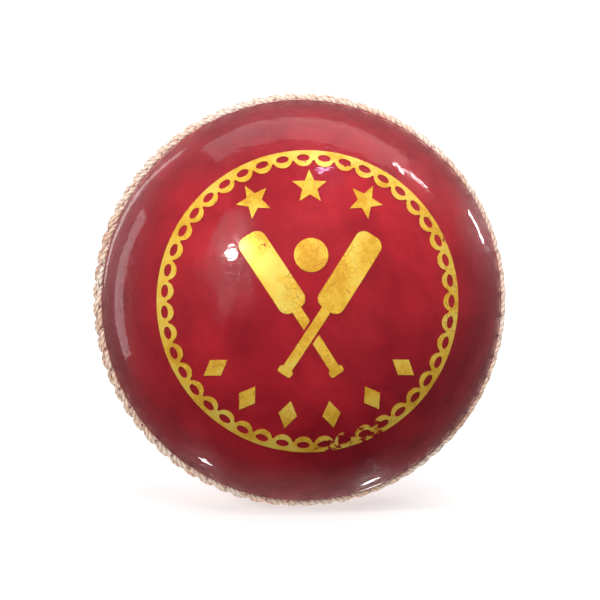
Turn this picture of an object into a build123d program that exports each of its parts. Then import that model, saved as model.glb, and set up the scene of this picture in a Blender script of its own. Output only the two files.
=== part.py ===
from build123d import *

import os
from math import cos, pi, radians, sin

# Cricket ball: a cork core wound in layers of yarn and cork, inside two leather cups that are sewn together
# with a raised seam of six rows of stitches, with gold foil stamps on both faces.
#
# Frame: millimetres, origin at the centre of the ball, +Z up. The ball stands on its seam, which lies in the
# XZ plane. The seam's axis is Y: the front face looks along -Y and the back face along +Y.
# Each cup and what is on it is drawn in its face's own frame: x and y across the face, z out to its pole.
FACES = {"front": Plane.front, "back": Plane.back}

# ---------------------------------------------------------------- driving dimensions
LEATHER_R = 35.7  # outer radius of the cover, away from the seam
LEATHER_THICKNESS = 3.2
LINING_R = LEATHER_R - LEATHER_THICKNESS
RIDGE_R = 36.0  # the cover stands a little proud where the cups meet
RIDGE_FOOT = 4.0  # distance from the join at which the ridge starts to rise
RIDGE_SHOULDER = 3.0
RIDGE_FALL = 0.05  # how far the ridge's shoulder lies below its edge
JOIN_CHAMFER = 0.45  # bevel of each cup's edge at the join
JOIN_GAP = 0.02  # from the join to each cup's edge

THREAD_R = 0.45
ROW_LEAN = 0.48  # a stitch's ends lie this far either side of its row's line
LEG_DEPTH = 1.1  # how far a stitch's legs run down into the leather
LEG_BEND_R = 0.62
CHANNEL_CLEARANCE = 0.05  # between a stitch and the channel that it lies in
CHANNEL_HEADROOM = 1.5  # the channel's section runs this far past the surface

# row name: (distance from the join along the cover, number of stitches, radius of the surface sewn on,
#            how far round the row's first stitch starts, as a share of its length)
ROWS = {
    "inner": (1.8, 72, RIDGE_R, 0.0),
    "middle": (5.2, 60, LEATHER_R, 0.35),
    "outer": (8.0, 60, LEATHER_R, 0.7),
}

NUCLEUS_R = 13.0
YARN_THICKNESS = 2.0  # one wound layer of yarn
CORK_THICKNESS = 2.4  # one layer of cork strips
CORK_LAYERS = 4
LAYER_CLEARANCE = 0.02
CORK_STRIPS = 6  # strips in a layer, each tapering to both of the layer's poles
CORK_GAP = 0.4  # between neighbouring strips
CORK_TIP_R = 1.2  # the strips' blunt tips stop this far from the layer's axis
CORK_POLES = (Plane.YZ, Plane.XZ, Plane.XY)  # the poles move from layer to layer

FOIL_BASE_R = LEATHER_R + 0.01
FOIL_THICKNESS = 0.1
LACE_R = 24.6  # outer edge of the lace border, measured from the face's axis
LACE_LINE = 0.7  # the border's outer line
LACE_BAND = 1.7  # from its outer edge to the cusps between its loops
LACE_DEPTH = 2.75  # from its outer edge to the crowns of its loops
LOOP_COUNT = 43
LOOP_R = 1.65
LOOP_HOLE_LONG = 2.1
LOOP_HOLE_SHORT = 1.15
BACK_RIM_R = 18.0
BACK_RIM_WIDTH = 0.85
MOTIF_RING_R = 18.4  # the stars and the diamonds stand on this circle
STAR_POINTS = 5
STAR_R = 2.9
STAR_INNER_R = 1.25
STAR_COUNT = 3
STAR_SPREAD = 29  # degrees from star to star
DIAMOND_LONG = 4.6
DIAMOND_SHORT = 3.0
DIAMOND_COUNT = 6
DIAMOND_SPREAD = 22

BLADE_LENGTH = 14.0
BLADE_WIDTH = 4.6
BLADE_TOE_R = 1.5
HANDLE_WIDTH = 1.6
KNOB_WIDTH = 2.4
KNOB_LENGTH = 1.2
SHOULDER_ABOVE_CROSSING = 4.3
KNOB_BELOW_CROSSING = 7.4
BAT_TILT = 33.0
BAT_GAP = 0.4  # bare leather beside the bat that lies on top
CROSSING_Y = -4.8
FOIL_BALL_R = 2.7
FOIL_BALL_Y = 7.4

STUMP_COUNT = 3
STUMP_HEIGHT = 17.0
STUMP_WIDTH = 1.6
STUMP_SPACING = 4.4
BAIL_LENGTH = 4.0
BAIL_WIDTH = 0.9
CORNER_SHARE = 1 / 3  # a knob's, stump's or bail's corner radius, as a share of its width

OVERSHOOT = 1.0  # cutting and limiting shapes run this far past what they cut

os.makedirs("parts", exist_ok=True)


# ---------------------------------------------------------------- core
def core_nucleus():
    """The moulded ball of cork and rubber at the centre."""
    with BuildPart() as nucleus:
        Sphere(NUCLEUS_R)
    nucleus.part.label = "core_nucleus"
    export_step(nucleus.part, "parts/core_nucleus.step")


def yarn_layer(number, inner_r, outer_r):
    """One winding of yarn, pulled tight enough to be a closed shell."""
    with BuildPart() as yarn:
        Sphere(outer_r)
        Sphere(inner_r, mode=Mode.SUBTRACT)
    yarn.part.label = f"yarn_layer_{number}"
    export_step(yarn.part, f"parts/yarn_layer_{number}.step")


def cork_layer(number, inner_r, outer_r):
    """One layer of cork strips, laid side by side like the peel of an orange: a shell parted by slots
    through its axis, with an opening at each pole where the strips' blunt tips meet."""
    poles = CORK_POLES[number % len(CORK_POLES)]
    across = 2 * (outer_r + OVERSHOOT)
    with BuildPart(poles) as cork:
        Sphere(outer_r)
        Sphere(inner_r, mode=Mode.SUBTRACT)
        Cylinder(CORK_TIP_R, across, mode=Mode.SUBTRACT)
        with PolarLocations(0, CORK_STRIPS // 2, angular_range=180):
            Box(across, CORK_GAP, across, mode=Mode.SUBTRACT)
    cork.part.label = f"cork_layer_{number}"
    export_step(cork.part, f"parts/cork_layer_{number}.step")


# ---------------------------------------------------------------- leather cover
def leather_cup(face):
    """One moulded leather cup, turned about the face's axis, with a channel under each row of stitches."""
    # the section's plane: x out from the axis, y towards the face's pole
    section = Plane(origin=(0, 0, 0), x_dir=FACES[face].x_dir, z_dir=(0, 0, -1))
    with BuildPart() as cup:
        with BuildSketch(section):
            with BuildLine():
                foot = ((LEATHER_R**2 - RIDGE_FOOT**2) ** 0.5, RIDGE_FOOT)
                dome = RadiusArc((0, LEATHER_R), foot, LEATHER_R)
                Polyline(
                    dome @ 1,
                    (RIDGE_R - RIDGE_FALL, RIDGE_SHOULDER),
                    (RIDGE_R, JOIN_GAP + JOIN_CHAMFER),
                    (RIDGE_R - JOIN_CHAMFER, JOIN_GAP),
                    (0, JOIN_GAP),
                    dome @ 0,
                )
            make_face()
        revolve(axis=Axis.Y)
        Sphere(LINING_R, mode=Mode.SUBTRACT)
        with BuildSketch(section):
            for distance, _, surface_r, _ in ROWS.values():
                bottom_r = surface_r - LEG_DEPTH - CHANNEL_CLEARANCE
                depth = surface_r + CHANNEL_HEADROOM - bottom_r
                latitude = distance / LEATHER_R
                middle_r = bottom_r + depth / 2
                with Locations((middle_r * cos(latitude), middle_r * sin(latitude))):
                    Rectangle(
                        depth,
                        2 * (ROW_LEAN + THREAD_R + CHANNEL_CLEARANCE),
                        rotation=latitude * 180 / pi,
                    )
        revolve(axis=Axis.Y, mode=Mode.SUBTRACT)
    cup.part.label = f"leather_cup_{face}"
    export_step(cup.part, f"parts/leather_cup_{face}.step")


# ---------------------------------------------------------------- stitching
def row_point(distance, radius, turn, lean):
    """A point near a row of stitches, in the face's frame. distance is from the join along the cover,
    and radius is from the ball's centre. turn is clockwise in degrees. lean shifts the point towards
    the face's pole."""
    latitude = distance / LEATHER_R
    out = radius * cos(latitude) - lean * sin(latitude)
    height = radius * sin(latitude) + lean * cos(latitude)
    return (out * cos(radians(turn)), -out * sin(radians(turn)), height)


def stitch_row(face, row):
    """All the stitches of one row. Each comes up out of the leather, crosses the row's line on a slant,
    and goes down again beside the start of the next."""
    distance, count, surface_r, share = ROWS[row]
    pitch = 360 / count
    start = share * pitch
    end = start + pitch
    leg_r = surface_r - LEG_DEPTH
    with BuildPart() as stitch:
        with BuildLine() as path:
            FilletPolyline(
                row_point(distance, leg_r, start, -ROW_LEAN),
                row_point(distance, surface_r, start, -ROW_LEAN),
                row_point(distance, surface_r, end, ROW_LEAN),
                row_point(distance, leg_r, end, ROW_LEAN),
                radius=LEG_BEND_R,
            )
        with BuildSketch(Plane(origin=path.line @ 0, z_dir=path.line % 0)):
            Circle(THREAD_R)
        sweep()
    with BuildPart(FACES[face]) as stitches:
        with PolarLocations(0, count):
            add(stitch.part)
    stitches.part.label = f"{face}_{row}_stitches"
    export_step(stitches.part, f"parts/{face}_{row}_stitches.step")


# ---------------------------------------------------------------- gold foil
def foil(face, name, motif, count=1, first_turn=0.0, span=360.0):
    """A thin layer of foil on the leather, in the outline of a motif drawn across the face. The copies are
    spread over the span of turns, counter-clockwise from the first."""
    with BuildPart() as layer:
        Sphere(FOIL_BASE_R + FOIL_THICKNESS)
        Sphere(FOIL_BASE_R, mode=Mode.SUBTRACT)
        extrude(motif, amount=LEATHER_R + OVERSHOOT, mode=Mode.INTERSECT)
    with BuildPart(FACES[face]) as stamp:
        with PolarLocations(0, count, first_turn, span, endpoint=span < 360):
            add(layer.part)
    stamp.part.label = f"{face}_foil_{name}"
    export_step(stamp.part, f"parts/{face}_foil_{name}.step")


def lace():
    """The border of the front stamp: a line with loops along its inside, all in one piece."""
    with BuildSketch() as motif:
        Circle(LACE_R)
        Circle(LACE_R - LACE_BAND, mode=Mode.SUBTRACT)
        with PolarLocations(LACE_R - LACE_DEPTH + LOOP_R, LOOP_COUNT):
            Circle(LOOP_R)
        Circle(LACE_R, mode=Mode.INTERSECT)
        with PolarLocations(LACE_R - LACE_LINE - LOOP_HOLE_SHORT / 2, LOOP_COUNT):
            Ellipse(LOOP_HOLE_SHORT / 2, LOOP_HOLE_LONG / 2, mode=Mode.SUBTRACT)
    return motif.sketch


def rim():
    """The line round the back stamp."""
    with BuildSketch() as motif:
        Circle(BACK_RIM_R)
        Circle(BACK_RIM_R - BACK_RIM_WIDTH, mode=Mode.SUBTRACT)
    return motif.sketch


def star():
    """A star that points away from the face's axis."""
    corners = []
    for i in range(2 * STAR_POINTS):
        radius = STAR_INNER_R if i % 2 else STAR_R
        corners.append((radius * cos(pi * i / STAR_POINTS), radius * sin(pi * i / STAR_POINTS)))
    with BuildSketch() as motif:
        with Locations((MOTIF_RING_R, 0)):
            Polygon(*corners, align=None)
    return motif.sketch


def diamond():
    """A diamond whose long diagonal points away from the face's axis."""
    half_long, half_short = DIAMOND_LONG / 2, DIAMOND_SHORT / 2
    with BuildSketch() as motif:
        with Locations((MOTIF_RING_R, 0)):
            Polygon((half_long, 0), (0, half_short), (-half_long, 0), (0, -half_short), align=None)
    return motif.sketch


def bat(margin=0.0):
    """A bat with its blade upwards, drawn about the point where the two bats cross."""
    blade_middle = SHOULDER_ABOVE_CROSSING + BLADE_LENGTH / 2
    handle_length = SHOULDER_ABOVE_CROSSING + KNOB_BELOW_CROSSING
    handle_middle = SHOULDER_ABOVE_CROSSING - handle_length / 2
    with BuildSketch() as outline:
        with Locations((0, blade_middle)):
            RectangleRounded(BLADE_WIDTH + 2 * margin, BLADE_LENGTH + 2 * margin, BLADE_TOE_R)
        with Locations((0, handle_middle)):
            Rectangle(HANDLE_WIDTH + 2 * margin, handle_length)
        with Locations((0, -KNOB_BELOW_CROSSING)):
            RectangleRounded(KNOB_WIDTH + 2 * margin, KNOB_LENGTH + 2 * margin, KNOB_LENGTH * CORNER_SHARE)
    return outline.sketch


def crossed_bats():
    """Two crossed bats. The one on top is whole, and the one under it stops short on either side."""
    with BuildSketch() as motif:
        with Locations(Location((0, CROSSING_Y, 0), BAT_TILT)):
            add(bat())
        with Locations(Location((0, CROSSING_Y, 0), -BAT_TILT)):
            add(bat(BAT_GAP), mode=Mode.SUBTRACT)
            add(bat())
    return motif.sketch


def small_ball():
    """A disc between the bats' blades."""
    with BuildSketch() as motif:
        with Locations((0, FOIL_BALL_Y)):
            Circle(FOIL_BALL_R)
    return motif.sketch


def wicket():
    """Three stumps with two bails across their tops."""
    with BuildSketch() as motif:
        with GridLocations(STUMP_SPACING, 0, STUMP_COUNT, 1):
            RectangleRounded(STUMP_WIDTH, STUMP_HEIGHT, STUMP_WIDTH * CORNER_SHARE)
        with Locations((0, STUMP_HEIGHT / 2 + BAIL_WIDTH)):
            with GridLocations(STUMP_SPACING, 0, STUMP_COUNT - 1, 1):
                RectangleRounded(BAIL_LENGTH, BAIL_WIDTH, BAIL_WIDTH * CORNER_SHARE)
    return motif.sketch


# ---------------------------------------------------------------- build
core_nucleus()
layer_base_r = NUCLEUS_R
for layer in range(1, CORK_LAYERS + 1):
    yarn_r = layer_base_r + YARN_THICKNESS
    yarn_layer(layer, layer_base_r + LAYER_CLEARANCE, yarn_r)
    layer_base_r = yarn_r + CORK_THICKNESS
    cork_layer(layer, yarn_r + LAYER_CLEARANCE, layer_base_r)
yarn_layer(CORK_LAYERS + 1, layer_base_r + LAYER_CLEARANCE, LINING_R - LAYER_CLEARANCE)

for face in FACES:
    leather_cup(face)
    for row in ROWS:
        stitch_row(face, row)

foil("front", "lace", lace())
star_span = STAR_SPREAD * (STAR_COUNT - 1)
foil("front", "stars", star(), STAR_COUNT, 90 - star_span / 2, star_span)
diamond_span = DIAMOND_SPREAD * (DIAMOND_COUNT - 1)
foil("front", "diamonds", diamond(), DIAMOND_COUNT, 270 - diamond_span / 2, diamond_span)
foil("front", "bats", crossed_bats())
foil("front", "ball", small_ball())
foil("back", "rim", rim())
foil("back", "wicket", wicket())
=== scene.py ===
from math import asin, cos, exp, pi, radians, sin

import bpy
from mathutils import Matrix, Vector, noise


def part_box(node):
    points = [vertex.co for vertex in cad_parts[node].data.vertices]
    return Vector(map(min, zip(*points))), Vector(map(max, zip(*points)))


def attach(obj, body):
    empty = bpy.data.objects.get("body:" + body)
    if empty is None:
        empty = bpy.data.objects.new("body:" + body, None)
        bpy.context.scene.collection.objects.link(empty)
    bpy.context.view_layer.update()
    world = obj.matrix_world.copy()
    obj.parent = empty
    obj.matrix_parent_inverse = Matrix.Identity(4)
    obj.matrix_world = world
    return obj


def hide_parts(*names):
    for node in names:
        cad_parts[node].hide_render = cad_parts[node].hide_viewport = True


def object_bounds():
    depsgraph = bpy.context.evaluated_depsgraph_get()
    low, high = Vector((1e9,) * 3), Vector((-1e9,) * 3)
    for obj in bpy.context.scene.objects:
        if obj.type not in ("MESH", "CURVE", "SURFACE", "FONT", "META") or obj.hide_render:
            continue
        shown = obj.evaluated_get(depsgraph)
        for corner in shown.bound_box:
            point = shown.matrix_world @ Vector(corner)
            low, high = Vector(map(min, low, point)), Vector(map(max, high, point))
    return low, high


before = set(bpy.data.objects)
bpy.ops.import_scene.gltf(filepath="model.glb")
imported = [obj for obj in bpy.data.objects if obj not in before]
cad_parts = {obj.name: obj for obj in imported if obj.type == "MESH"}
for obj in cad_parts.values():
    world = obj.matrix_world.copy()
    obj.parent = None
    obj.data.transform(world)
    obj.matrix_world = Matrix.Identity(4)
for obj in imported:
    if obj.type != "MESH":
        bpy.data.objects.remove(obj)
cad_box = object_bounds()

# Frame: metres, origin at the ball's centre, +Z up. The seam lies in the XZ plane and the stamped front
# looks along -Y. Each face's own frame has x and y across the face and z out to its pole.
MM = 0.001
FACES = {
    "front": (Vector((1, 0, 0)), Vector((0, 0, 1)), Vector((0, -1, 0))),
    "back": (Vector((-1, 0, 0)), Vector((0, 0, 1)), Vector((0, 1, 0))),
}
LEATHER_R = -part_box("leather_cup_front")[0][1]
RIDGE_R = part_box("leather_cup_front")[1][0]
LEATHER_THICKNESS = 3.2 * MM
LINING_R = LEATHER_R - LEATHER_THICKNESS
OVERALL_R = cad_box[1][0]

# row name: (distance from the join along the cover, stitches, radius of the surface under them, start of the
# first as a share of a stitch)
ROWS = {
    "inner": (1.8 * MM, 72, RIDGE_R, 0.0),
    "middle": (5.2 * MM, 60, LEATHER_R, 0.35),
    "outer": (8.0 * MM, 60, LEATHER_R, 0.7),
}


def to_world(face, p):
    """A point in a face's frame, in the ball's frame."""
    x_axis, y_axis, z_axis = FACES[face]
    return x_axis * p[0] + y_axis * p[1] + z_axis * p[2]


def outward_at(latitude, turn):
    """The unit vector, in a face's frame, at a latitude from the join and a turn clockwise round the face."""
    return Vector((cos(latitude) * cos(turn), -cos(latitude) * sin(turn), sin(latitude)))


def new_object(name, vertices, faces, material, slot, *nodes):
    """A piece that rides on the ball and stands for the given CAD nodes."""
    mesh = bpy.data.meshes.new(name)
    mesh.from_pydata(vertices, [], faces)
    mesh.update()
    mesh.shade_smooth()
    mesh.materials.append(material)
    piece = bpy.data.objects.new(name, mesh)
    bpy.context.scene.collection.objects.link(piece)
    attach(piece, "root")
    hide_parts(*nodes)
    return piece


def add_point_values(piece, name, values):
    """Gives the piece a value at each vertex, for its material to read."""
    attribute = piece.data.attributes.new(name, "FLOAT", "POINT")
    attribute.data.foreach_set("value", values)


# ---------------------------------------------------------------- material helpers
class Nodes:
    """A short way to write a node material."""

    def __init__(self, name):
        self.material = bpy.data.materials.new(name)
        self.material.use_nodes = True
        self.tree = self.material.node_tree
        self.shader = self.tree.nodes["Principled BSDF"]
        self.place = self.add("ShaderNodeTexCoord").outputs["Object"]

    def add(self, kind, inputs=None, **settings):
        node = self.tree.nodes.new(kind)
        for key, value in settings.items():
            setattr(node, key, value)
        for key, value in (inputs or {}).items():
            self.set(node.inputs[key], value)
        return node

    def set(self, socket, value):
        if isinstance(value, bpy.types.NodeSocket):
            self.tree.links.new(value, socket)
        else:
            socket.default_value = value

    def noise(self, scale, detail=3.0, roughness=0.5, vector=None, distortion=0.0):
        """Noise of a given scale per metre, as a 0 to 1 value."""
        inputs = {"Scale": scale, "Detail": detail, "Roughness": roughness, "Distortion": distortion}
        inputs["Vector"] = vector or self.place
        return self.add("ShaderNodeTexNoise", inputs).outputs["Fac"]

    def ramp(self, value, *stops):
        """A colour ramp through (position, colour) stops."""
        node = self.add("ShaderNodeValToRGB", {"Fac": value})
        elements = node.color_ramp.elements
        for element, (position, colour) in zip(elements, (stops[0], stops[-1])):
            element.position = position
            element.color = colour
        for position, colour in stops[1:-1]:
            elements.new(position).color = colour
        return node.outputs["Color"]

    def levels(self, value, low, high, to_low=0.0, to_high=1.0):
        """Stretches low..high to to_low..to_high, clamped."""
        inputs = {"Value": value, "From Min": low, "From Max": high, "To Min": to_low, "To Max": to_high}
        return self.add("ShaderNodeMapRange", inputs, clamp=True).outputs["Result"]

    def math(self, operation, a, b):
        node = self.add("ShaderNodeMath", operation=operation)
        self.set(node.inputs[0], a)
        self.set(node.inputs[1], b)
        return node.outputs["Value"]

    def mix(self, factor, a, b, blend="MIX"):
        node = self.add("ShaderNodeMix", data_type="RGBA", blend_type=blend)
        self.set(node.inputs["Factor"], factor)
        self.set(node.inputs["A"], a)
        self.set(node.inputs["B"], b)
        return node.outputs["Result"]

    def stretched(self, scale):
        """Object coordinates stretched by a factor along each axis."""
        return self.add("ShaderNodeMapping", {"Vector": self.place, "Scale": scale}).outputs["Vector"]

    def bump(self, height, distance, strength=1.0, below=None):
        inputs = {"Height": height, "Distance": distance, "Strength": strength}
        if below:
            inputs["Normal"] = below
        return self.add("ShaderNodeBump", inputs).outputs["Normal"]

    def finish(self, **values):
        """Sets the shader's sockets: Base_Color=... for 'Base Color'."""
        for key, value in values.items():
            self.set(self.shader.inputs[key.replace("_", " ")], value)
        return self.material


def grey(value):
    return (value, value, value, 1.0)


# ---------------------------------------------------------------- materials
def leather_material():
    """Deep red leather under clear lacquer: dye mottling, pores, a brushed-on coat, small scuffs, and painted
    shade where the leather sinks into the stitch grooves and holes.
    """
    n = Nodes("leather")
    cloud = n.noise(38, 4, 0.55, distortion=0.6)
    mottle = n.noise(170, 5, 0.6)
    base = n.ramp(
        cloud,
        (0.3, (0.25, 0.008, 0.017, 1)),
        (0.5, (0.38, 0.013, 0.024, 1)),
        (0.7, (0.49, 0.018, 0.03, 1)),
    )
    base = n.mix(n.levels(mottle, 0.4, 0.75, 0.0, 0.6), base, (0.17, 0.002, 0.008, 1))
    speck = n.levels(n.noise(900, 2, 0.5), 0.68, 0.74)
    base = n.mix(n.math("MULTIPLY", speck, 0.3), base, (0.07, 0.003, 0.008, 1))
    # painted shade: the leather is darkened where it sinks into the stitch grooves and holes
    sunk_shade = n.add("ShaderNodeAttribute", attribute_name="sunk_shade").outputs["Fac"]
    base = n.mix(n.math("MULTIPLY", sunk_shade, 0.85), base, (0.05, 0.003, 0.005, 1))
    along = n.stretched((0.55, 1.0, 1.6))
    grain = n.noise(1050, 4, 0.6, vector=along)
    pores = n.add("ShaderNodeTexVoronoi", {"Vector": n.place, "Scale": 1500.0}).outputs["Distance"]
    waves = n.noise(250, 3, 0.5, vector=along)
    height = n.bump(waves, 0.00011, 0.55)
    height = n.bump(grain, 0.00003, 0.5, below=height)
    height = n.bump(pores, 0.000012, 0.35, below=height)
    coat = n.bump(n.noise(330, 3, 0.55, vector=along), 0.00014, 0.25)
    dents = n.levels(n.noise(2800, 2, 0.6, vector=n.stretched((0.4, 1.0, 1.7))), 0.54, 0.7)
    coat = n.bump(dents, 0.00002, 0.8, below=coat)
    return n.finish(
        Base_Color=base,
        Roughness=n.levels(mottle, 0.3, 0.7, 0.34, 0.52),
        Normal=height,
        Coat_Weight=0.9,
        Coat_Roughness=0.025,
        Coat_Normal=coat,
        Specular_IOR_Level=0.08,
    )


def thread_material():
    """Waxed linen thread, cream where it is clean and pinkish tan where the dye has rubbed into it, with
    painted shade between its plies and where it goes into the leather.
    """
    n = Nodes("thread")
    stain = n.noise(120, 4, 0.6)
    fibre = n.noise(3800, 3, 0.6)
    colour = n.ramp(
        stain,
        (0.3, (0.76, 0.47, 0.34, 1)),
        (0.46, (0.96, 0.74, 0.58, 1)),
        (0.62, (1.0, 0.9, 0.78, 1)),
    )
    colour = n.mix(n.levels(fibre, 0.4, 0.75, 0.0, 0.3), colour, (0.7, 0.48, 0.37, 1))
    # painted shade: darker between the plies and where the thread goes into the leather
    hollow_shade = n.add("ShaderNodeAttribute", attribute_name="hollow_shade").outputs["Fac"]
    colour = n.mix(hollow_shade, colour, (0.16, 0.03, 0.025, 1))
    return n.finish(
        Base_Color=colour,
        Roughness=n.levels(fibre, 0.3, 0.7, 0.5, 0.8),
        Normal=n.bump(fibre, 0.00004, 0.6),
        Sheen_Weight=0.1,
        Sheen_Roughness=0.5,
    )


# where the foil has rubbed off the most: (place, how far the wear reaches, how much of it there is)
WORN_SPOTS = (
    ((7.6 * MM, -25.9 * MM, -23.4 * MM), 8.0 * MM, 0.17),
    ((22.5 * MM, -25.5 * MM, 11.5 * MM), 3.0 * MM, 0.15),
)


def foil_material():
    """Gold stamping foil, finely cracked and thin in places, so that the red shows through."""
    n = Nodes("foil")
    tone = n.noise(240, 3, 0.6)
    gold = n.ramp(
        tone,
        (0.35, (0.86, 0.46, 0.04, 1)),
        (0.5, (1.0, 0.63, 0.07, 1)),
        (0.65, (1.0, 0.76, 0.14, 1)),
    )
    cracks = n.add(
        "ShaderNodeTexVoronoi", {"Vector": n.place, "Scale": 900.0}, feature="DISTANCE_TO_EDGE"
    ).outputs["Distance"]
    worn_patches = n.levels(n.noise(95, 2, 0.5), 0.5, 0.64)
    crack = n.math("MULTIPLY", n.levels(cracks, 0.0, 0.055, 1.0, 0.0), worn_patches)
    flakes = n.noise(520, 5, 0.65)
    for spot, reach, wear in WORN_SPOTS:
        away = n.add("ShaderNodeVectorMath", {0: n.place, 1: spot}, operation="DISTANCE").outputs["Value"]
        flakes = n.math("ADD", flakes, n.levels(away, 0.6 * reach, reach, wear, 0.0))
    flaked = n.levels(flakes, 0.665, 0.7)
    gone = n.math("MAXIMUM", n.math("MULTIPLY", crack, 0.6), flaked)
    return n.finish(
        Base_Color=n.mix(gone, gold, (0.28, 0.006, 0.013, 1)),
        Metallic=n.levels(gone, 0.1, 0.9, 0.35, 0.0),
        Roughness=n.levels(tone, 0.3, 0.7, 0.22, 0.36),
        Normal=n.bump(n.noise(700, 3, 0.6), 0.00004, 0.45),
    )


def yarn_material():
    """Tightly wound wool yarn."""
    n = Nodes("yarn")
    turns = n.add(
        "ShaderNodeTexWave", {"Vector": n.place, "Scale": 330.0, "Distortion": 2.2, "Detail": 2.0}
    ).outputs["Fac"]
    crossing = n.add(
        "ShaderNodeTexWave",
        {"Vector": n.place, "Scale": 330.0, "Distortion": 2.6, "Detail": 2.0},
        bands_direction="DIAGONAL",
    ).outputs["Fac"]
    winding = n.mix(n.levels(n.noise(60, 2), 0.45, 0.55), turns, crossing)
    fluff = n.noise(3000, 3, 0.7)
    colour = n.mix(winding, (0.42, 0.34, 0.24, 1), (0.82, 0.75, 0.62, 1))
    colour = n.mix(n.levels(fluff, 0.4, 0.7, 0.0, 0.35), colour, (0.55, 0.45, 0.34, 1))
    return n.finish(
        Base_Color=colour,
        Roughness=n.levels(fluff, 0.3, 0.7, 0.8, 0.95),
        Normal=n.bump(winding, 0.0003, 0.7),
        Sheen_Weight=0.3,
    )


def cork_material(name, dark, light, grain_scale):
    """Cork, or cork bound with rubber: packed grains, each of its own brown, with dark seams."""
    n = Nodes(name)
    grains = n.add("ShaderNodeTexVoronoi", {"Vector": n.place, "Scale": grain_scale})
    edges = n.add(
        "ShaderNodeTexVoronoi", {"Vector": n.place, "Scale": grain_scale}, feature="DISTANCE_TO_EDGE"
    ).outputs["Distance"]
    tone = n.add("ShaderNodeSeparateColor", {"Color": grains.outputs["Color"]}).outputs["Red"]
    colour = n.ramp(tone, (0.0, dark), (1.0, light))
    colour = n.mix(n.levels(edges, 0.0, 0.07, 0.7, 0.0), colour, (0.09, 0.045, 0.02, 1))
    pits = n.levels(n.noise(grain_scale * 3, 3, 0.6), 0.6, 0.72)
    colour = n.mix(pits, colour, (0.16, 0.08, 0.04, 1))
    height = n.bump(edges, 0.0003, 0.4)
    return n.finish(
        Base_Color=colour,
        Roughness=n.levels(pits, 0.0, 1.0, 0.72, 0.92),
        Normal=n.bump(pits, 0.0002, 0.5, below=height),
    )


LEATHER = leather_material()
THREAD = thread_material()
FOIL = foil_material()
YARN = yarn_material()
CORK = cork_material("cork", (0.36, 0.2, 0.09, 1), (0.66, 0.45, 0.25, 1), 700.0)
NUCLEUS = cork_material("cork_rubber", (0.1, 0.06, 0.035, 1), (0.42, 0.25, 0.13, 1), 420.0)


# ---------------------------------------------------------------- leather cups
RIDGE_SPAN = 4.0 * MM  # the ridge rises over this distance from the join
JOIN_DEPTH = 0.55 * MM
JOIN_ROUND = 0.5 * MM
JOIN_GAP = 0.02 * MM  # each cup stops this far from the middle of the join
ROW_REACH = 2.4 * MM  # a row shapes the leather this far to each side
ROW_LEAN = 0.48 * MM  # how far a stitch's end lies to one side of its row
GROOVE_WIDTH = 0.56 * MM
GROOVE_DEPTH = 0.42 * MM
HOLE_WIDTH = 0.42 * MM
HOLE_DEPTH = 0.75 * MM
PILLOW = 0.1 * MM  # how far the leather swells beside a row
PILLOW_OFFSET = 1.35 * MM
PILLOW_WIDTH = 0.5 * MM
WOBBLE = 0.07 * MM
WOBBLE_SCALE = 60  # per metre, as is the next
FINE_WOBBLE_SCALE = 190
FINE_WOBBLE_SHARE = 0.25
SEAM_SPAN = 11.0 * MM  # the stretch of cover with the finer rings
DOME_RINGS = 30
SEAM_RINGS = 72
LINING_RINGS = 12
TURNS = 864  # vertices round a ring


def bell(x, width):
    return exp(-((x / width) ** 2))


def cover_height(distance, turn, place):
    """How far the leather's outside stands from LEATHER_R, at a distance from the join along the cover and a
    turn clockwise round the face."""
    height = 0.0
    rise = 1 - min(distance / RIDGE_SPAN, 1.0)
    height += (RIDGE_R - LEATHER_R) * rise * rise * (3 - 2 * rise)
    height -= JOIN_DEPTH * bell(distance, JOIN_ROUND)
    for row_distance, count, _, share in ROWS.values():
        offset = distance - row_distance
        if abs(offset) > ROW_REACH:
            continue
        # position along the stitch: 0 and 1 at its two holes
        along = (turn / (2 * pi) * count - share) % 1.0
        height += PILLOW * bell(abs(offset) - PILLOW_OFFSET, PILLOW_WIDTH)
        line = offset - ROW_LEAN * (2 * along - 1)
        height -= GROOVE_DEPTH * bell(line, GROOVE_WIDTH)
        pitch = 2 * pi * LEATHER_R / count
        to_hole = min(along, 1 - along) * pitch
        for side in (-1, 1):
            near = (to_hole**2 + (offset - side * ROW_LEAN) ** 2) ** 0.5
            height -= (HOLE_DEPTH - GROOVE_DEPTH) * bell(near, HOLE_WIDTH)
    height += WOBBLE * noise.noise(place * WOBBLE_SCALE)
    height += FINE_WOBBLE_SHARE * WOBBLE * noise.noise(place * FINE_WOBBLE_SCALE)
    return height


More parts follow.
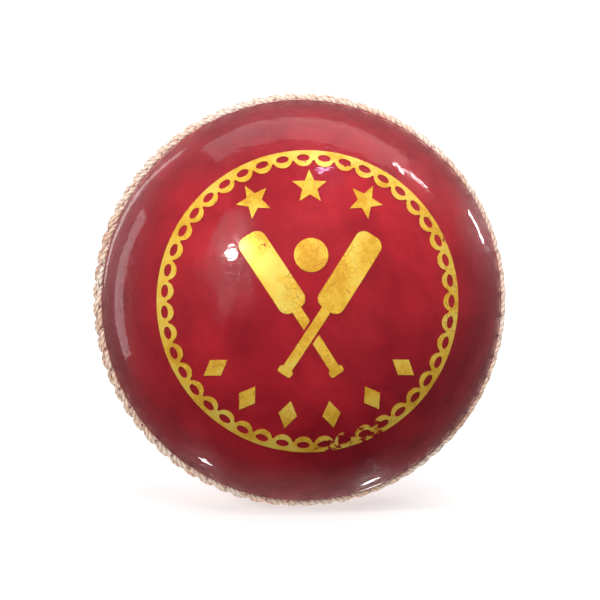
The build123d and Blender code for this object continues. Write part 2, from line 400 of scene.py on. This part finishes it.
def leather_cup(face):
    """One cup: its outside with the channels that the stitches have pulled into it, and its lining. Each
    point of the outside also gets how deep it sinks, for the painted shade in the channels.
    """
    arc = pi / 2 * LEATHER_R
    distances = [arc - (arc - SEAM_SPAN) * i / DOME_RINGS for i in range(1, DOME_RINGS + 1)]
    distances += [SEAM_SPAN - (SEAM_SPAN - JOIN_GAP) * i / SEAM_RINGS for i in range(1, SEAM_RINGS + 1)]
    pole_height = cover_height(arc, 0.0, to_world(face, (0, 0, LEATHER_R)))
    vertices = [to_world(face, (0, 0, LEATHER_R + pole_height))]
    sunk_shade = [0.0]
    rings = []
    for distance in distances:
        latitude = distance / LEATHER_R
        ring = []
        for i in range(TURNS):
            turn = 2 * pi * i / TURNS
            outward = outward_at(latitude, turn)
            height = cover_height(distance, turn, to_world(face, outward * LEATHER_R))
            ring.append(len(vertices))
            vertices.append(to_world(face, outward * (LEATHER_R + height)))
            # painted shade: how far the leather sinks here, as a share of a groove's depth, for the material
            # to darken
            sunk_shade.append(min(max(-height / GROOVE_DEPTH, 0.0), 1.0))
        rings.append(ring)
    lowest = asin(JOIN_GAP / LINING_R)
    for j in range(LINING_RINGS):
        latitude = lowest + (pi / 2 - lowest) * j / LINING_RINGS
        ring = []
        for i in range(TURNS):
            ring.append(len(vertices))
            vertices.append(to_world(face, outward_at(latitude, 2 * pi * i / TURNS) * LINING_R))
        rings.append(ring)
    lining_pole = len(vertices)
    vertices.append(to_world(face, (0, 0, LINING_R)))
    faces = []
    for i in range(TURNS):
        k = (i + 1) % TURNS
        faces.append((0, rings[0][i], rings[0][k]))
        faces.append((lining_pole, rings[-1][k], rings[-1][i]))
        for upper, lower in zip(rings, rings[1:]):
            faces.append((upper[i], lower[i], lower[k], upper[k]))
    sunk_shade += [0.0] * (len(vertices) - len(sunk_shade))
    piece = new_object(f"leather_{face}", vertices, faces, LEATHER, "leather", f"leather_cup_{face}")
    add_point_values(piece, "sunk_shade", sunk_shade)


# ---------------------------------------------------------------- stitches
THREAD_R = 0.45 * MM
THREAD_BITE = 0.3  # the middle line starts this share of the thread's radius below the row's surface
PLIES = 3
PLY_DEPTH = 0.13  # of the thread's radius
PLY_TURNS = 1.25  # along one stitch
STITCH_STEPS = 26
STITCH_SIDES = 18
STITCH_REACH = 1.12  # a stitch's length in pitches, so that each one starts beside the last one's end
STITCH_ARCH = 0.34 * MM  # how far its middle line rises in the middle
STITCH_SINK = 1.0 * MM  # how far its ends are pulled into the leather
SINK_POWER = 3.4
END_TAPER = 0.16
LEAN_WANDER = 0.12  # how far one stitch differs from the next, as is the next
ARCH_WANDER = 0.08
WANDER_STEP = 0.73
WANDER_SEED = {"front": 5.0, "back": 9.0}
WANDER_OFFSETS = (0.0, 30.3, 60.6)  # where the three values that a stitch differs by are read
PLY_SHADE = 0.75  # how dark the painted shade is between two plies
END_SHADE = 0.95  # how dark the painted shade is where the thread goes into the leather
END_SHADE_START = 0.58  # where that painted shade starts, as a share of the way from the stitch's middle to its end


def stitch_wander(face, row, k):
    """How a stitch differs from the next: three values that change smoothly along the row."""
    place = Vector((k * WANDER_STEP, ROWS[row][0] / MM, WANDER_SEED[face]))
    return Vector([noise.noise(place + Vector((0.0, 0.0, offset))) for offset in WANDER_OFFSETS])


def stitch_path(row, k, wander):
    """A stitch's middle line in its face's frame: (point, outward, share of the way to the stitch's end)."""
    distance, count, surface_r, share = ROWS[row]
    pitch = 2 * pi / count
    lean = ROW_LEAN * (1 + LEAN_WANDER * wander.x)
    centre = (k + share + 0.5) * pitch
    path = []
    for s in range(STITCH_STEPS + 1):
        t = 2 * s / STITCH_STEPS - 1
        lift = STITCH_ARCH - STITCH_SINK * abs(t) ** SINK_POWER
        radius = surface_r + lift * (1 + ARCH_WANDER * wander.y) - THREAD_R * THREAD_BITE
        outward = outward_at((distance + lean * t) / LEATHER_R, centre + t * STITCH_REACH / 2 * pitch)
        path.append((outward * radius, outward, abs(t)))
    return path


def stitch_row(face, row):
    """One row of laid-up thread. Each stitch dives into the leather at both ends, like a strand of a rope."""
    vertices, faces, hollow_shade = [], [], []
    for k in range(ROWS[row][1]):
        wander = stitch_wander(face, row, k)
        spin = wander.z * 2 * pi
        path = stitch_path(row, k, wander)
        first = len(vertices)
        for s, (centre, outward, far) in enumerate(path):
            ahead = path[min(s + 1, STITCH_STEPS)][0] - path[max(s - 1, 0)][0]
            ahead.normalize()
            across = ahead.cross(outward).normalized()
            up = across.cross(ahead)
            for i in range(STITCH_SIDES):
                angle = 2 * pi * i / STITCH_SIDES
                twist = PLIES * (angle + spin) + 2 * pi * PLY_TURNS * s / STITCH_STEPS * PLIES
                groove = 0.5 - 0.5 * cos(twist)
                radius = THREAD_R * (1 - PLY_DEPTH * groove**3) * (1 - END_TAPER * far**3)
                vertices.append(to_world(face, centre + (across * cos(angle) + up * sin(angle)) * radius))
                # painted shade: dark in the grooves between plies and towards the ends, where the thread goes
                # into the leather
                end_share = max(far - END_SHADE_START, 0) / (1 - END_SHADE_START)
                hollow_shade.append(min(PLY_SHADE * groove**4 + END_SHADE * end_share, 1.0))
        for s in range(STITCH_STEPS):
            for i in range(STITCH_SIDES):
                a = first + s * STITCH_SIDES + i
                b = first + s * STITCH_SIDES + (i + 1) % STITCH_SIDES
                faces.append((a, a + STITCH_SIDES, b + STITCH_SIDES, b))
        faces.append([first + i for i in range(STITCH_SIDES)])
        last = first + STITCH_STEPS * STITCH_SIDES
        faces.append([last + i for i in reversed(range(STITCH_SIDES))])
    piece = new_object(f"stitches_{face}_{row}", vertices, faces, THREAD, "thread", f"{face}_{row}_stitches")
    add_point_values(piece, "hollow_shade", hollow_shade)
    return piece


stitching = bpy.data.collections.new("stitching")
for face in FACES:
    leather_cup(face)
    for row in ROWS:
        stitching.objects.link(stitch_row(face, row))

# ---------------------------------------------------------------- finishes of the CAD nodes that stay
for node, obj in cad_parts.items():
    material = None
    if "foil" in node:
        material = FOIL
    elif node.startswith("yarn"):
        material = YARN
    elif node.startswith("cork"):
        material = CORK
    elif node == "core_nucleus":
        material = NUCLEUS
    if material:
        for material_slot in obj.material_slots:
            material_slot.material = material


# ---------------------------------------------------------------- floor, lights and camera
CAMERA_DISTANCE = 0.3
CAMERA_TURN = radians(-2.9)  # the camera stands a little to the ball's left
CAMERA_RISE = radians(0.5)
LENS = 101.0
EYE = CAMERA_DISTANCE * Vector(
    (sin(CAMERA_TURN) * cos(CAMERA_RISE), -cos(CAMERA_TURN) * cos(CAMERA_RISE), sin(CAMERA_RISE))
)
SOFT_DISTANCE = 1.4
SOFT_SIZE = 0.8
DAYLIGHT = (1, 0.98, 0.96)
WARM = (1, 0.96, 0.94)


def make_stage():
    """A pale floor that curves up into a round wall. It lights nothing and isn't mirrored in the lacquer."""
    floor_r, bend_r, top = 0.5, 1.2, 2.4
    bend_steps, sides = 16, 96
    profile = [(floor_r, 0.0)]
    for step in range(1, bend_steps + 1):
        angle = pi / 2 * step / bend_steps
        profile.append((floor_r + bend_r * sin(angle), bend_r * (1 - cos(angle))))
    profile.append((floor_r + bend_r, top))
    vertices, faces = [], []
    for radius, height in profile:
        for i in range(sides):
            turn = 2 * pi * i / sides
            vertices.append((radius * cos(turn), radius * sin(turn), height - OVERALL_R))
    faces.append(list(range(sides)))
    for j in range(len(profile) - 1):
        for i in range(sides):
            k = (i + 1) % sides
            faces.append((j * sides + i, (j + 1) * sides + i, (j + 1) * sides + k, j * sides + k))
    mesh = bpy.data.meshes.new("stage")
    mesh.from_pydata(vertices, [], faces)
    mesh.shade_smooth()
    n = Nodes("pale_paper")
    mesh.materials.append(
        n.finish(Base_Color=grey(0.5), Roughness=0.9, Emission_Color=grey(1.0), Emission_Strength=0.6)
    )
    stage = bpy.data.objects.new("stage", mesh)
    stage.visible_glossy = False
    stage.visible_diffuse = False
    stage.visible_shadow = False
    bpy.context.scene.collection.objects.link(stage)


def area_light(name, direction, distance, width, height, watts, colour=(1, 1, 1), mirrored=True, only=None):
    """A light that faces the ball from a direction. mirrored says whether it shows in the lacquer, and only
    names the collection that it lights, if it doesn't light everything."""
    light = bpy.data.lights.new(name, "AREA")
    light.shape = "ELLIPSE" if width == height else "RECTANGLE"
    light.size = width
    light.size_y = height
    light.energy = watts
    light.color = colour
    lamp = bpy.data.objects.new(name, light)
    lamp.location = Vector(direction).normalized() * distance
    lamp.rotation_euler = (-lamp.location).to_track_quat("-Z", "Y").to_euler()
    lamp.visible_camera = False
    lamp.visible_glossy = mirrored
    if only:
        lamp.light_linking.receiver_collection = only
    bpy.context.scene.collection.objects.link(lamp)


def glint_light(name, across, up, distance, width, height, watts, colour=(1, 1, 1)):
    """A light that the lacquer mirrors to the camera at a place on the front half of the ball, given by how
    far it is to the right of the ball's centre and above it."""
    point = Vector((across, -((LEATHER_R**2 - across**2 - up**2) ** 0.5), up))
    outward = point.normalized()
    view = (point - EYE).normalized()
    ray = view - outward * (2 * view.dot(outward))
    along = point.dot(ray)
    reach = (along**2 - LEATHER_R**2 + distance**2) ** 0.5 - along
    area_light(name, point + ray * reach, distance, width, height, watts, colour)


def soft_light(name, direction, watts, colour, only=None):
    """A large round light that the lacquer doesn't mirror."""
    area_light(name, direction, SOFT_DISTANCE, SOFT_SIZE, SOFT_SIZE, watts, colour, False, only)


def make_lights(stitches):
    glint_light("lamp", -12.5 * MM, 7.8 * MM, 1.0, 0.12, 0.12, 4.5, (1, 0.98, 0.95))
    area_light("ceiling", (0.05, 0.36, 0.93), 1.2, 1.5, 0.5, 2.6, (1, 0.9, 0.92))
    area_light("left_window", (-0.83, 0.55, 0.08), 1.3, 0.24, 1.0, 1.3, (1, 0.9, 0.9))
    area_light("left_window_edge", (-0.5, 0.8, 0.33), 1.3, 0.1, 0.8, 0.5, (1, 0.9, 0.9))
    glint_light("back_right", 29.1 * MM, 12.6 * MM, 1.3, 0.06, 0.16, 0.5)
    glint_light("right_streak", 17.1 * MM, 20.8 * MM, 1.1, 0.04, 0.3, 0.6)
    glint_light("right_streak_core", 15.4 * MM, 21.3 * MM, 1.1, 0.04, 0.05, 0.25)
    glint_light("violet", 2.6 * MM, 21.5 * MM, 1.1, 0.16, 0.08, 0.9, (0.75, 0.6, 1.0))
    soft_light("key", (0.1, -0.76, 0.64), 15.0, DAYLIGHT)
    soft_light("left_fill", (-0.9, -0.4, 0.0), 1.6, WARM)
    soft_light("right_fill", (0.5, -0.83, -0.25), 4.0, WARM)
    soft_light("back_fill", (-0.2, 0.8, 0.55), 8.0, DAYLIGHT)
    soft_light("low_fill", (0.1, -0.75, -0.65), 1.0, WARM)
    soft_light("floor_bounce", (0.0, 0.7, -0.71), 18.0, (1, 0.9, 0.84))
    soft_light("under_seam", (0.0, -0.5, -0.87), 8.0, (1, 0.93, 0.88), only=stitches)
    glint_light("low_glint_left", -16.8 * MM, -27.0 * MM, 1.0, 0.06, 0.05, 0.16)
    glint_light("low_glint_right", 11.2 * MM, -30.8 * MM, 1.0, 0.08, 0.04, 0.14)


def make_world():
    """A dim room, darker below the horizon."""
    world = bpy.data.worlds.new("studio")
    world.use_nodes = True
    tree = world.node_tree
    background = tree.nodes["Background"]
    background.inputs["Color"].default_value = (1.0, 0.93, 0.92, 1.0)
    place = tree.nodes.new("ShaderNodeTexCoord")
    split = tree.nodes.new("ShaderNodeSeparateXYZ")
    fade = tree.nodes.new("ShaderNodeMapRange")
    fade.inputs["From Min"].default_value = -1.0
    fade.inputs["From Max"].default_value = 0.6
    fade.inputs["To Min"].default_value = 0.03
    fade.inputs["To Max"].default_value = 0.24
    tree.links.new(place.outputs["Generated"], split.inputs["Vector"])
    tree.links.new(split.outputs["Z"], fade.inputs["Value"])
    tree.links.new(fade.outputs["Result"], background.inputs["Strength"])
    bpy.context.scene.world = world


def make_camera():
    camera = bpy.data.cameras.new("camera")
    camera.lens = LENS
    camera.sensor_width = 36
    camera.clip_start = 0.01
    eye = bpy.data.objects.new("camera", camera)
    eye.location = EYE
    eye.rotation_euler = (-eye.location).to_track_quat("-Z", "Y").to_euler()
    bpy.context.scene.collection.objects.link(eye)
    bpy.context.scene.camera = eye


make_stage()
make_lights(stitching)
make_world()
make_camera()
bpy.context.scene.view_settings.view_transform = "Standard"
